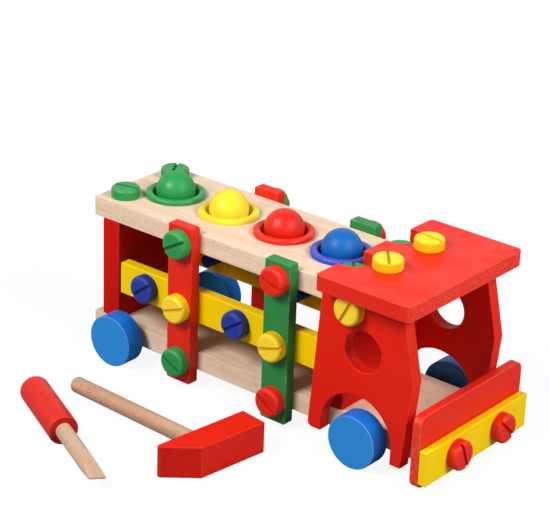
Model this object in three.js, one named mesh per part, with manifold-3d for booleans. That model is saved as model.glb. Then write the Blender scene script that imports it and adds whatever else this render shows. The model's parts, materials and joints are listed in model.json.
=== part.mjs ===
// A wooden screw-together toy truck with its hammer and screwdriver.
// Two planks, a rear wall, a cab and side posts are held by large slotted wooden screws,
// and four balls sit in ringed holes of the upper plank, ready to be knocked through.
// Millimetres, +Z up, the truck drives towards +X and stands on z = 0.

import * as THREE from 'three';
import { mergeVertices } from 'three/addons/utils/BufferGeometryUtils.js';
import Module from 'manifold-3d';

const wasm = await Module();
wasm.setup();

// Clearances
const seatGap = 0.3;
const screwClearance = 0.3;
const axleClearance = 0.3;
const ballClearance = 0.3;

// Facets
const cornerSteps = 1;
const arcSteps = 5;
const holeSegments = 12;
const screwSegments = 14;
const wheelSegments = 24;
const ringSegments = 20;
const ballSegments = 16;
const weldDistance = 1e-4;

// The small chamfer that eases the rims of every board
const edgeEase = 0.9;

// Planks: the chassis below and the deck with the balls above
const plankWidth = 87.2;
const plankThickness = 15;
const plankSpacing = 94.65;
const plankCorner = 1.5;

// Wheels and axles
const wheelRadius = 20;
const wheelThickness = 15.7;
const wheelEase = 1.4;
const wheelGap = 5.8;
const wheelFaceWall = 6;
const axleRadius = 4;
const axleAboveUnderside = 7.4;
const rearAxleX = 36.5;
const frontAxleAheadOfBulkhead = 24.5;

// Cross walls between the planks
const wallThickness = 16.4;
const rearWallSetback = 9;

// Balls and the rings they sit in
const ballRadius = 15;
const ballCount = 4;
const ballRise = 4;
const ballWallClearance = 2.6;
const bayNose = 6;
const ringWall = 3.2;
const ringLip = 4.3;
const ringHeight = 3.6;
const ringFlare = 2.6;
const ringFlareDepth = 5;
const ringSpacing = 7.4;

// Slotted screws
const headRadius = 11;
const headHeight = 8;
const headRounding = 2;
const slotWidth = 3;
const slotDepth = 2.2;
const shankRadius = 5.25;
const shankLength = 22;
const holeTipRoom = 0.6;
const holeOvershoot = 1;

// Side posts and rails
const postWidth = 23.1;
const postThickness = 9;
const postTail = 16.9;
const postCrown = 13.7;
const postCorner = 2;
const rearPostAheadOfWall = 69.7;
const frontPostBehindBulkhead = 39;
const railHeight = 25.2;
const railThickness = 9;
const railRise = 43.4;
const railEndGap = 2;
const railCorner = 1.2;
const rearRailScrewBehindPost = 40.3;
const frontRailScrewAheadOfPost = 49.4;

// Cab side panels
const panelThickness = 10;
const panelFootDrop = 4.65;
const panelCorner = 4;
const archClearance = 10.6;
const archSetback = 5;
const archDrop = 0;
const rearFootWidth = 11.4;
const frontFootWidth = 9.2;
const rearFootRise = 4.2;
const rearLean = 8.2;
const kneeLean = 6.6;
const kneeHeight = 66.9;
const browLean = 11.4;
const windowRadius = 15.6;
const windowAheadOfArch = 3;
const windowHeight = 72.6;
const cabScrewBehindWindow = 10.7;

// Roof
const roofLength = 79.6;
const roofThickness = 11.5;
const roofOverhang = 13.8;
const roofCorner = 4;
const roofRearBehindBulkhead = 2.9;
const roofAboveDeck = 3.8;
const roofScrewFromRear = 29.1;
const roofScrewInset = 19.5;
const notchRadius = 14.5;
const deckNose = 14;
const deckScrewInset = 16;

// Bumper
const bumperOverhang = 17.65;
const bumperBoardThickness = 6.8;
const bumperBoardHeight = 55.2;
const bumperBoardDrop = 10.6;
const bumperBoardCorner = 7;
const bumperRailThickness = 6.3;
const bumperRailHeight = 26.3;
const bumperRailCorner = 1.2;
const bumperScrewInset = 17;
const chassisNose = 6.4;

// Hammer
const hammerHeadHeight = 24;
const hammerHeadWidth = 23;
const hammerHeadLength = 79.7;
const hammerHeadBevel = 21.7;
const hammerHeadCorner = 4;
const hammerHeadSkew = -5;
const hammerHandleRadius = 6;
const hammerHandleReach = 126;
const hammerHandleSocket = 16;
const hammerHandleRounding = 3;
const hammerX = 192.5;
const hammerStandOff = 61.2;
const hammerTurn = -2.3;

// Screwdriver
const driverHandleRadius = 11;
const driverHandleLength = 71;
const driverHandleRounding = 6;
const driverBladeRadius = 6;
const driverBladeReach = 71;
const driverSocket = 25;
const driverTipLength = 34;
const driverTipThickness = 1.4;
const driverTipRoll = -9;
const driverX = 35.374;
const driverStandOff = 79.5095;
const driverTurn = -26.4;

// Levels above the floor
const chassisBottom = wheelRadius - axleAboveUnderside;
const chassisTop = chassisBottom + plankThickness;
const chassisMiddle = chassisBottom + plankThickness / 2;
const deckBottom = chassisBottom + plankSpacing;
const deckTop = deckBottom + plankThickness;
const deckMiddle = deckBottom + plankThickness / 2;
const roofBottom = deckTop + roofAboveDeck;
const roofTop = roofBottom + roofThickness;
const railMiddle = chassisMiddle + railRise;
const axleHeight = wheelRadius;
const ballCentreZ = deckTop + ballRise;

// Distances from the centre plane
const halfPlank = plankWidth / 2;
const sideSeat = halfPlank + seatGap;
const wheelInnerY = halfPlank + wheelGap;
const wheelOuterY = wheelInnerY + wheelThickness;
const postScrewSeat = sideSeat + postThickness + seatGap;
const cabScrewSeat = sideSeat + panelThickness + seatGap;
const roofHalfWidth = sideSeat + panelThickness + roofOverhang;
const deckScrewSpread = plankWidth - 2 * deckScrewInset;
const roofScrewSpread = plankWidth - 2 * roofScrewInset;
const bumperScrewSpread = plankWidth - 2 * bumperScrewInset;
const bumperWidth = plankWidth + 2 * bumperOverhang;

// Stations along the truck, from the chassis's rear end
const boreRadius = ballRadius + ballClearance;
const sleeveRadius = boreRadius + ringWall;
const flangeRadius = sleeveRadius + ringLip;
const ringPitch = 2 * flangeRadius + ringSpacing;
const rearWallX = rearWallSetback + wallThickness / 2;
const bayRearX = rearWallSetback + wallThickness;
const firstRingX = bayRearX + ballRadius + ballWallClearance;
const lastRingX = firstRingX + (ballCount - 1) * ringPitch;
const bayFrontX = lastRingX + ballRadius + ballWallClearance + bayNose;
const bulkheadX = bayFrontX + wallThickness / 2;
const frontAxleX = bayFrontX + wallThickness + frontAxleAheadOfBulkhead;
const archX = frontAxleX - archSetback;
const archRadius = wheelRadius + archClearance;
const rearFootX = archX - archRadius - rearFootWidth;
const frontFootX = archX + archRadius + frontFootWidth;
const kneeX = frontFootX + kneeLean;
const windowX = archX + windowAheadOfArch;
const roofRearX = bulkheadX - roofRearBehindBulkhead;
const roofScrewX = roofRearX + roofScrewFromRear;
const deckFrontX = roofScrewX + deckNose;
const chassisFrontX = kneeX + chassisNose;
const bumperBoardX = chassisFrontX + seatGap;
const bumperRailX = bumperBoardX + bumperBoardThickness + seatGap;
const bumperScrewSeat = bumperRailX + bumperRailThickness + seatGap;
const rearPostX = bayRearX + rearPostAheadOfWall;
const frontPostX = bayFrontX - frontPostBehindBulkhead;

// Paint and bare wood
const red = 0xd62a20;
const yellow = 0xe8c30a;
const green = 0x2f8a48;
const azure = 0x2a7cc4;
const ultramarine = 0x27329c;
const violetBlue = 0x3f4fc8;
const beech = 0xe3c6a4;
const dowelWood = 0xcfa27c;

function paint(colour) {
  return new THREE.MeshStandardMaterial({ color: colour, roughness: 0.42, metalness: 0 });
}

function bareWood(colour) {
  return new THREE.MeshStandardMaterial({ color: colour, roughness: 0.7, metalness: 0 });
}

function piece(name, geometry, material) {
  const mesh = new THREE.Mesh(geometry, material);
  mesh.name = name;
  return mesh;
}

// Solids for cutting and joining

function toSolid(geometry) {
  const bare = geometry.clone();
  bare.deleteAttribute('normal');
  bare.deleteAttribute('uv');
  const merged = mergeVertices(bare, weldDistance);
  const corners = merged.index.array;
  const triangles = [];
  for (let i = 0; i < corners.length; i += 3) {
    const [a, b, c] = [corners[i], corners[i + 1], corners[i + 2]];
    if (a !== b && b !== c && c !== a) {
      triangles.push(a, b, c);
    }
  }
  const mesh = new wasm.Mesh({
    numProp: 3,
    vertProperties: Float32Array.from(merged.attributes.position.array),
    triVerts: Uint32Array.from(triangles),
  });
  return new wasm.Manifold(mesh);
}

function toGeometry(solid) {
  const mesh = solid.getMesh();
  const geometry = new THREE.BufferGeometry();
  geometry.setAttribute('position', new THREE.BufferAttribute(Float32Array.from(mesh.vertProperties), 3));
  geometry.setIndex(new THREE.BufferAttribute(Uint32Array.from(mesh.triVerts), 1));
  geometry.computeVertexNormals();
  return geometry;
}

function cut(geometry, cutters) {
  let solid = toSolid(geometry);
  for (const cutter of cutters) {
    solid = solid.subtract(toSolid(cutter));
  }
  return toGeometry(solid);
}

// Outlines and boards

function roundedRectangle(x0, y0, x1, y1, radius) {
  const shape = new THREE.Shape();
  shape.moveTo(x0 + radius, y0);
  shape.lineTo(x1 - radius, y0);
  shape.absarc(x1 - radius, y0 + radius, radius, -Math.PI / 2, 0, false);
  shape.lineTo(x1, y1 - radius);
  shape.absarc(x1 - radius, y1 - radius, radius, 0, Math.PI / 2, false);
  shape.lineTo(x0 + radius, y1);
  shape.absarc(x0 + radius, y1 - radius, radius, Math.PI / 2, Math.PI, false);
  shape.lineTo(x0, y0 + radius);
  shape.absarc(x0 + radius, y0 + radius, radius, Math.PI, 1.5 * Math.PI, false);
  return shape;
}

// An outline sawn from a board of the given thickness, its two rims eased.
function sawn(outline, thickness, curveSegments = cornerSteps) {
  const geometry = new THREE.ExtrudeGeometry(outline, {
    depth: thickness - 2 * edgeEase,
    bevelEnabled: true,
    bevelThickness: edgeEase,
    bevelSize: edgeEase,
    bevelOffset: -edgeEase,
    bevelSegments: 1,
    curveSegments,
  });
  return geometry.translate(0, 0, edgeEase);
}

function turned(profile, segments) {
  return new THREE.LatheGeometry(profile, segments);
}

function dowel(radius, length, segments) {
  return new THREE.CylinderGeometry(radius, radius, length, segments);
}

// A third of a turn about this line takes X to Y, Y to Z and Z to X.
const cubeDiagonal = new THREE.Vector3(1, 1, 1).normalize();

// A board that stands across the truck, drawn in (y, z) and sawn along +X from its rear face.
function acrossBoard(name, outline, thickness, material, curveSegments) {
  const mesh = piece(name, sawn(outline, thickness, curveSegments), material);
  mesh.quaternion.setFromAxisAngle(cubeDiagonal, (2 * Math.PI) / 3);
  return mesh;
}

// A board that stands along the truck, drawn in (x, z), with its inner face at innerY on one side.
function alongBoard(name, outline, thickness, material, side, innerY, curveSegments) {
  const mesh = piece(name, sawn(outline, thickness, curveSegments), material);
  mesh.rotation.x = Math.PI / 2;
  mesh.position.y = side > 0 ? innerY + thickness : -innerY;
  return mesh;
}

// Screws: each one has a seat on the wood, a direction that its head faces, and a turn of its slot.
// The turn is counted from a reference direction in the plane of the head.

const sides = [
  { side: -1, label: 'right' },
  { side: 1, label: 'left' },
];

function sideScrew(name, colour, x, seat, z, side, turn) {
  return {
    name,
    colour,
    seat: new THREE.Vector3(x, side * seat, z),
    facing: new THREE.Vector3(0, side, 0),
    reference: new THREE.Vector3(1, 0, 0),
    turn: -side * turn,
  };
}

function topScrew(name, colour, x, y, seat, turn) {
  return {
    name,
    colour,
    seat: new THREE.Vector3(x, y, seat),
    facing: new THREE.Vector3(0, 0, 1),
    reference: new THREE.Vector3(1, 0, 0),
    turn,
  };
}

function frontScrew(name, colour, seat, y, z, turn) {
  return {
    name,
    colour,
    seat: new THREE.Vector3(seat, y, z),
    facing: new THREE.Vector3(1, 0, 0),
    reference: new THREE.Vector3(0, 1, 0),
    turn,
  };
}

function listScrews() {
  const screws = [];
  const rows = { top: deckMiddle, middle: railMiddle, bottom: chassisMiddle };
  const postKinds = [
    { label: 'front', x: frontPostX, colours: [red, yellow, red], turns: [-17, 17, -33] },
    { label: 'rear', x: rearPostX, colours: [green, yellow, green], turns: [30, 21, -27] },
  ];
  for (const { side, label } of sides) {
    for (const post of postKinds) {
      Object.entries(rows).forEach(([row, z], i) => {
        const name = `screw_post_${post.label}_${label}_${row}`;
        screws.push(sideScrew(name, post.colours[i], post.x, postScrewSeat, z, side, post.turns[i]));
      });
    }
    const rearRailX = rearPostX - rearRailScrewBehindPost;
    const frontRailX = rearPostX + frontRailScrewAheadOfPost;
    screws.push(
      sideScrew(`screw_rail_rear_${label}`, ultramarine, rearRailX, sideSeat, railMiddle, side, 37),
      sideScrew(`screw_rail_front_${label}`, ultramarine, frontRailX, sideSeat, railMiddle, side, 34),
    );
    const cabX = windowX - cabScrewBehindWindow;
    screws.push(sideScrew(`screw_cab_${label}`, yellow, cabX, cabScrewSeat, deckMiddle, side, 62));
    const deckY = (side * deckScrewSpread) / 2;
    const deckSeat = deckTop + seatGap;
    const roofY = (side * roofScrewSpread) / 2;
    const bumperY = (side * bumperScrewSpread) / 2;
    screws.push(
      topScrew(`screw_roof_${label}`, yellow, roofScrewX, roofY, roofTop + seatGap, side < 0 ? -50 : -5),
      topScrew(`screw_deck_front_${label}`, green, bulkheadX, deckY, deckSeat, side < 0 ? -50 : 20),
      topScrew(`screw_deck_rear_${label}`, green, rearWallX, deckY, deckSeat, side < 0 ? 15 : -60),
      frontScrew(`screw_bumper_${label}`, red, bumperScrewSeat, bumperY, axleHeight, side < 0 ? -70 : -45),
    );
  }
  return screws;
}

function screwProfile() {
  const profile = new THREE.Path();
  profile.moveTo(0, -shankLength);
  profile.lineTo(shankRadius, -shankLength);
  profile.lineTo(shankRadius, 0);
  profile.lineTo(headRadius, 0);
  profile.lineTo(headRadius, headHeight - headRounding);
  profile.absarc(headRadius - headRounding, headHeight - headRounding, headRounding, 0, Math.PI / 2, false);
  profile.lineTo(0, headHeight);
  return profile.getPoints(cornerSteps);
}

function screwBlank() {
  const slot = new THREE.BoxGeometry(3 * headRadius, 2 * slotDepth, slotWidth);
  slot.translate(0, headHeight, 0);
  return cut(turned(screwProfile(), screwSegments), [slot]);
}

// The frame whose +Y is the way the head faces and whose +X runs along the slot.
function screwFrame(screw) {
  const turn = THREE.MathUtils.degToRad(screw.turn);
  const alongSlot = screw.reference.clone().applyAxisAngle(screw.facing, turn);
  const across = new THREE.Vector3().crossVectors(alongSlot, screw.facing);
  return new THREE.Matrix4().makeBasis(alongSlot, screw.facing, across).setPosition(screw.seat);
}

function screwHole(screw) {
  const length = holeOvershoot + shankLength + holeTipRoom;
  const hole = dowel(shankRadius + screwClearance, length, holeSegments);
  hole.translate(0, holeOvershoot - length / 2, 0);
  return hole.applyMatrix4(screwFrame(screw));
}

// Drills a placed board wherever a screw passes through it.
function drill(mesh, screws) {
  mesh.updateMatrix();
  const toBoard = mesh.matrix.clone().invert();
  const holes = screws.map((screw) => screwHole(screw).applyMatrix4(toBoard));
  mesh.geometry = cut(mesh.geometry, holes);
  return mesh;
}

function makeScrews(screws) {
  const blank = screwBlank();
  return screws.map((screw) => {
    const mesh = piece(screw.name, blank.clone(), paint(screw.colour));
    screwFrame(screw).decompose(mesh.position, mesh.quaternion, mesh.scale);
    return mesh;
  });
}

// The two planks

function makeChassis() {
  const outline = roundedRectangle(0, -halfPlank, chassisFrontX, halfPlank, plankCorner);
  const bores = [rearAxleX, frontAxleX].map((x) => {
    const bore = dowel(axleRadius + axleClearance, 2 * plankWidth, holeSegments);
    return bore.translate(x, 0, axleAboveUnderside);
  });
  const mesh = piece('chassis', cut(sawn(outline, plankThickness), bores), bareWood(beech));
  mesh.position.z = chassisBottom;
  return mesh;
}

function ringStations() {
  return Array.from({ length: ballCount }, (_, i) => firstRingX + i * ringPitch);
}

function makeDeck() {
  const outline = roundedRectangle(0, -halfPlank, deckFrontX, halfPlank, plankCorner);
  const holes = ringStations().map((x) => {
    const hole = dowel(sleeveRadius + seatGap, 4 * plankThickness, ringSegments);
    return hole.rotateX(Math.PI / 2).translate(x, 0, 0);
  });
  const mesh = piece('deck', cut(sawn(outline, plankThickness), holes), bareWood(beech));
  mesh.position.z = deckBottom;
  return mesh;
}

// Walls, posts and rails

function makeWall(name, centreX) {
  const outline = roundedRectangle(
    -halfPlank,
    chassisTop + seatGap,
    halfPlank,
    deckBottom - seatGap,
    plankCorner,
  );
  const mesh = acrossBoard(name, outline, wallThickness, paint(red));
  mesh.position.x = centreX - wallThickness / 2;
  return mesh;
}

function makePost(name, centreX, colour, side) {
  const outline = roundedRectangle(
    centreX - postWidth / 2,
    chassisMiddle - postTail,
    centreX + postWidth / 2,
    deckMiddle + postCrown,
    postCorner,
  );
  return alongBoard(name, outline, postThickness, paint(colour), side, sideSeat);
}

function makeRail(name, side) {
  const outline = roundedRectangle(
    bayRearX + railEndGap,
    railMiddle - railHeight / 2,
    bayFrontX - railEndGap,
    railMiddle + railHeight / 2,
    railCorner,
  );
  return alongBoard(name, outline, railThickness, paint(yellow), side, halfPlank - railThickness);
}

// Cab

// The panel's outline runs from the rear foot up the back, over the brow to the knee,
// down to the front foot and back through the wheel arch.
function panelOutline() {
  const footZ = chassisBottom - panelFootDrop;
  const rearFootZ = footZ + rearFootRise;
  const topZ = roofBottom - seatGap;
  const archZ = axleHeight - archDrop;
  const shape = new THREE.Shape();
  shape.moveTo(archX + archRadius, footZ);
  shape.lineTo(frontFootX, footZ);
  shape.lineTo(kneeX, chassisBottom + kneeHeight - panelFootDrop);
  shape.lineTo(kneeX - browLean, topZ);
  shape.lineTo(rearFootX + rearLean, topZ);
  shape.lineTo(rearFootX, rearFootZ + panelCorner);
  shape.quadraticCurveTo(rearFootX, rearFootZ, rearFootX + panelCorner, rearFootZ);
  shape.lineTo(archX - archRadius, rearFootZ);
  shape.lineTo(archX - archRadius, archZ);
  shape.absarc(archX, archZ, archRadius, Math.PI, 0, true);
  const window = new THREE.Path();
  window.absarc(windowX, chassisBottom + windowHeight, windowRadius, 0, 2 * Math.PI, true);
  shape.holes.push(window);
  return shape;
}

function makeCabSide(name, side) {
  return alongBoard(name, panelOutline(), panelThickness, paint(red), side, sideSeat, arcSteps);
}

// The roof's rear edge has two round notches that leave room for the deck screws' heads.
function roofOutline() {
  const x0 = roofRearX;
  const x1 = roofRearX + roofLength;
  const y = roofHalfWidth;
  const notchY = deckScrewSpread / 2;
  const halfAngle = Math.acos((x0 - bulkheadX) / notchRadius);
  const shape = new THREE.Shape();
  shape.moveTo(x0 + roofCorner, -y);
  shape.lineTo(x1 - roofCorner, -y);
  shape.absarc(x1 - roofCorner, -y + roofCorner, roofCorner, -Math.PI / 2, 0, false);
  shape.lineTo(x1, y - roofCorner);
  shape.absarc(x1 - roofCorner, y - roofCorner, roofCorner, 0, Math.PI / 2, false);
  shape.lineTo(x0 + roofCorner, y);
  shape.absarc(x0 + roofCorner, y - roofCorner, roofCorner, Math.PI / 2, Math.PI, false);
  shape.absarc(bulkheadX, notchY, notchRadius, halfAngle, -halfAngle, true);
  shape.absarc(bulkheadX, -notchY, notchRadius, halfAngle, -halfAngle, true);
  shape.lineTo(x0, -y + roofCorner);
  shape.absarc(x0 + roofCorner, -y + roofCorner, roofCorner, Math.PI, 1.5 * Math.PI, false);
  return shape;
}

function makeRoof() {
  const mesh = piece('roof', sawn(roofOutline(), roofThickness, arcSteps), paint(red));
  mesh.position.z = roofBottom;
  return mesh;
}

// Bumper

function makeBumper() {
  const half = bumperWidth / 2;
  const boardZ = chassisBottom - bumperBoardDrop;
  const boardTop = boardZ + bumperBoardHeight;
  const boardShape = roundedRectangle(-half, boardZ, half, boardTop, bumperBoardCorner);
  const board = acrossBoard('bumper_board', boardShape, bumperBoardThickness, paint(red), 3 * cornerSteps);
  board.position.x = bumperBoardX;
  const railZ = axleHeight - bumperRailHeight / 2;
  const railTop = railZ + bumperRailHeight;
  const railShape = roundedRectangle(-half, railZ, half, railTop, bumperRailCorner);
  const rail = acrossBoard('bumper_rail', railShape, bumperRailThickness, paint(yellow));
  rail.position.x = bumperRailX;
  return [board, rail];
}

// Wheels on glued dowel axles

function wheelProfile() {
  const boreRadiusAtAxle = axleRadius + seatGap;
  const boreDepth = wheelThickness - wheelFaceWall;
  return [
    new THREE.Vector2(0, boreDepth),
    new THREE.Vector2(boreRadiusAtAxle, boreDepth),
    new THREE.Vector2(boreRadiusAtAxle, 0),
    new THREE.Vector2(wheelRadius - wheelEase, 0),
    new THREE.Vector2(wheelRadius, wheelEase),
    new THREE.Vector2(wheelRadius, wheelThickness - wheelEase),
    new THREE.Vector2(wheelRadius - wheelEase, wheelThickness),
    new THREE.Vector2(0, wheelThickness),
  ];
}

function makeWheelset(label, x) {
  const group = new THREE.Group();
  group.position.set(x, 0, axleHeight);
  const axleLength = 2 * (wheelOuterY - wheelFaceWall - seatGap);
  group.add(piece(`axle_${label}`, dowel(axleRadius, axleLength, screwSegments), bareWood(dowelWood)));
  for (const { side, label: sideLabel } of sides) {
    const wheel = piece(`wheel_${label}_${sideLabel}`, turned(wheelProfile(), wheelSegments), paint(azure));
    wheel.position.y = side * wheelInnerY;
    wheel.rotation.x = side > 0 ? 0 : Math.PI;
    group.add(wheel);
  }
  return group;
}

// Rings and balls

// The ring's sleeve lines the hole in the deck, and its rounded lip lies on the deck.
function ringProfile() {
  const lipRadius = ringHeight / 2;
  const flareRadius = boreRadius + ringFlare;
  const profile = new THREE.Path();
  profile.moveTo(boreRadius, -plankThickness);
  profile.lineTo(sleeveRadius, -plankThickness);
  profile.lineTo(sleeveRadius, seatGap);
  profile.lineTo(flangeRadius - lipRadius, seatGap);
  const lipCentre = flangeRadius - lipRadius;
  profile.absarc(lipCentre, seatGap + lipRadius, lipRadius, -Math.PI / 2, Math.PI / 2, false);
  profile.lineTo(flareRadius, seatGap + ringHeight);
  profile.lineTo(boreRadius, seatGap + ringHeight - ringFlareDepth);
  profile.lineTo(boreRadius, -plankThickness);
  return profile.getPoints(2 * cornerSteps);
}

function makeRingsAndBalls() {
  const colours = [
    { label: 'green', ring: green, ball: green },
    { label: 'yellow', ring: yellow, ball: yellow },
    { label: 'red', ring: red, ball: red },
    { label: 'blue', ring: violetBlue, ball: azure },
  ];
  return ringStations().flatMap((x, i) => {
    const { label, ring: ringColour, ball: ballColour } = colours[i % colours.length];
    const number = i + 1;
    const ring = piece(`ring_${number}_${label}`, turned(ringProfile(), ringSegments), paint(ringColour));
    ring.rotation.x = Math.PI / 2;
    ring.position.set(x, 0, deckTop);
    const sphere = new THREE.SphereGeometry(ballRadius, ballSegments, Math.round(0.6 * ballSegments));
    const ball = piece(`ball_${number}_${label}`, sphere, paint(ballColour));
    ball.rotation.x = Math.PI / 2;
    ball.position.set(x, 0, ballCentreZ);
    return [ring, ball];
  });
}

// Hammer: a head with one slanted end, lying on its side, and a dowel handle along -X

function makeHammer() {
  const half = hammerHeadWidth / 2;
  const headEnd = hammerHeadLength / 2;
  const slope = hammerHeadBevel / hammerHeadWidth;
  const corner = [hammerHeadCorner - half, slope * hammerHeadCorner - headEnd];
  const outline = new THREE.Shape();
  outline.moveTo(...corner);
  outline.lineTo(half, hammerHeadBevel - headEnd);
  outline.lineTo(half, headEnd);
  outline.lineTo(-half, headEnd);
  outline.lineTo(-half, hammerHeadCorner - headEnd);
  outline.quadraticCurveTo(-half, -headEnd, ...corner);
  const middle = hammerHeadHeight / 2;
  const socket = dowel(hammerHandleRadius + seatGap, 2 * hammerHandleSocket, holeSegments);
  const skew = THREE.MathUtils.degToRad(hammerHeadSkew);
  socket.rotateZ(Math.PI / 2).translate(-half, 0, middle).rotateZ(-skew);
  const head = piece('hammer_head', cut(sawn(outline, hammerHeadHeight), [socket]), paint(red));
  head.rotation.z = skew;

  const inner = hammerHandleSocket - seatGap;
  const profile = new THREE.Path();
  profile.moveTo(0, -inner);
  profile.lineTo(hammerHandleRadius, -inner);
  profile.lineTo(hammerHandleRadius, hammerHandleReach - hammerHandleRounding);
  profile.quadraticCurveTo(
    hammerHandleRadius,
    hammerHandleReach,
    hammerHandleRadius - hammerHandleRounding,
    hammerHandleReach,
  );
  profile.lineTo(0, hammerHandleReach);
  const stick = turned(profile.getPoints(3 * cornerSteps), ringSegments);
  const handle = piece('hammer_handle', stick, bareWood(dowelWood));
  handle.rotation.z = Math.PI / 2;
  handle.position.set(-half, 0, middle);

  const group = new THREE.Group();
  group.add(head, handle);
  group.position.set(hammerX, -(wheelOuterY + hammerStandOff), 0);
  group.rotation.z = THREE.MathUtils.degToRad(hammerTurn);
  return group;
}

// Screwdriver: a turned handle with a flat-tipped dowel blade, along +X from the handle's end

// The sliver above the blade's slope, from the full dowel down to the tip's edge.
function tipSliver() {
  const tipX = driverHandleLength + driverBladeReach;
  const outline = new THREE.Shape();
  outline.moveTo(tipX - driverTipLength, driverBladeRadius);
  outline.lineTo(tipX, driverTipThickness / 2);
  outline.lineTo(tipX + driverBladeRadius, driverTipThickness / 2);
  outline.lineTo(tipX + driverBladeRadius, 2 * driverBladeRadius);
  outline.lineTo(tipX - driverTipLength, 2 * driverBladeRadius);
  const width = 4 * driverBladeRadius;
  const sliver = new THREE.ExtrudeGeometry(outline, { depth: width, bevelEnabled: false });
  return sliver.translate(0, 0, -width / 2).rotateX(Math.PI / 2);
}

function makeScrewdriver() {
  const profile = new THREE.Path();
  const socketFloor = driverHandleLength - driverSocket;
  const socketRadius = driverBladeRadius + seatGap;
  profile.moveTo(0, 0);
  profile.lineTo(driverHandleRadius - driverHandleRounding, 0);
  profile.quadraticCurveTo(driverHandleRadius, 0, driverHandleRadius, driverHandleRounding);
  profile.lineTo(driverHandleRadius, driverHandleLength - edgeEase);
  profile.lineTo(driverHandleRadius - edgeEase, driverHandleLength);
  profile.lineTo(socketRadius, driverHandleLength);
  profile.lineTo(socketRadius, socketFloor);
  profile.lineTo(0, socketFloor);
  const grip = turned(profile.getPoints(3 * cornerSteps), ringSegments);
  const handle = piece('driver_handle', grip, paint(red));
  handle.rotation.z = -Math.PI / 2;

  const bladeLength = driverBladeReach + driverSocket - seatGap;
  const blank = dowel(driverBladeRadius, bladeLength, ringSegments);
  blank.rotateZ(-Math.PI / 2).translate(socketFloor + seatGap + bladeLength / 2, 0, 0);
  const roll = THREE.MathUtils.degToRad(driverTipRoll);
  const slivers = [tipSliver().rotateX(roll), tipSliver().rotateX(Math.PI + roll)];
  const blade = piece('driver_blade', cut(blank, slivers), bareWood(beech));

  const group = new THREE.Group();
  group.add(handle, blade);
  group.position.set(driverX, -(wheelOuterY + driverStandOff), driverHandleRadius);
  group.rotation.z = THREE.MathUtils.degToRad(driverTurn);
  return group;
}

function makeTruck() {
  const screws = listScrews();
  const boards = [
    makeChassis(),
    makeDeck(),
    makeWall('rear_wall', rearWallX),
    makeWall('cab_bulkhead', bulkheadX),
    makeRoof(),
    ...makeBumper(),
  ];
  for (const { side, label } of sides) {
    boards.push(
      makePost(`post_front_${label}`, frontPostX, green, side),
      makePost(`post_rear_${label}`, rearPostX, red, side),
      makeRail(`rail_${label}`, side),
      makeCabSide(`cab_side_${label}`, side),
    );
  }
  const truck = new THREE.Group();
  truck.add(...boards.map((board) => drill(board, screws)));
  truck.add(makeWheelset('rear', rearAxleX), makeWheelset('front', frontAxleX));
  truck.add(...makeRingsAndBalls());
  truck.add(...makeScrews(screws));
  return truck;
}

// The set's origin is the middle of its footprint on the floor.
const playset = new THREE.Group();
playset.add(makeTruck(), makeHammer(), makeScrewdriver());
playset.updateMatrixWorld(true);
const footprint = new THREE.Box3().setFromObject(playset, true).getCenter(new THREE.Vector3());
playset.position.set(-footprint.x, -footprint.y, 0);

const group = new THREE.Group();
group.add(playset);

export default group;
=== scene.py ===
"""Looks of a screw-together wooden toy truck with its hammer and screwdriver.

Every piece is modelled afresh where its CAD node stands, with rounded edges and true turned
shapes, and gets a painted or a bare wood finish. Sizes and radii are in millimetres, in the
frame of the part. Points become metres where they reach a mesh.
"""

import json
import logging
import math
from collections.abc import Callable, Sequence
from dataclasses import dataclass
from enum import Enum
from typing import Any

import bmesh
import bpy
from bpy.types import Material, Node, NodeSocket, NodeTree, Object
from mathutils import Matrix, Vector

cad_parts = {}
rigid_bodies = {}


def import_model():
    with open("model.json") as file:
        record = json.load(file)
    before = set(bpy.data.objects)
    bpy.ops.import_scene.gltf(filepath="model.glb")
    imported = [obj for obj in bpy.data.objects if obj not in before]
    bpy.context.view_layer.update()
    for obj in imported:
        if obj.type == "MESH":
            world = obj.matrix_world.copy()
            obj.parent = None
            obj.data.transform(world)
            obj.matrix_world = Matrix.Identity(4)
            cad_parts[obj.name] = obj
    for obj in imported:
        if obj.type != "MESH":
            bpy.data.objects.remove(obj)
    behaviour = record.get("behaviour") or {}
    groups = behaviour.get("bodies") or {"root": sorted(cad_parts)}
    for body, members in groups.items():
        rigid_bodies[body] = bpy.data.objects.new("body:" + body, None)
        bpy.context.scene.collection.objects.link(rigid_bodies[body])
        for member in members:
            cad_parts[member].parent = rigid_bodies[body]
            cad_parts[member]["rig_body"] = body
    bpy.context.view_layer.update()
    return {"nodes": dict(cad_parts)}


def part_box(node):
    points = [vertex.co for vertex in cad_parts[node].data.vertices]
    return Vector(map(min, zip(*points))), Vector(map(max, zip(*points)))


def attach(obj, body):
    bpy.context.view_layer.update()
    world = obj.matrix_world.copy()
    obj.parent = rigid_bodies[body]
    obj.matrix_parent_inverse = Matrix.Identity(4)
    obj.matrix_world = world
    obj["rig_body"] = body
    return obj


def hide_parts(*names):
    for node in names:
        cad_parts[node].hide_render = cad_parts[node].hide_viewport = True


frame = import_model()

Colour = tuple[int, int, int]
Span = tuple[float, float]
Triple = tuple[float, float, float]
Test = Callable[[Any], bool]
Values = dict[str, NodeSocket]
Layers = tuple[NodeSocket, NodeSocket, NodeSocket]

MM = 0.001
HAIR = 1e-6
NEAR = 1e-5
CLOSE = 1e-4
PARALLEL = 0.99
EASE_ANGLE = math.radians(35.0)
NORMAL_WEIGHT = 80
UNIT = (0.0, 1.0)
WHITE = (1.0, 1.0, 1.0, 1.0)
SCREW_HEAD_HEIGHT = 8.0
HAMMER_TURN = math.radians(-2.3)
HEAD_SKEW = math.radians(-5.0)
DRIVER_TURN = math.radians(-26.4)
log = logging.getLogger("toy_truck")


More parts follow.
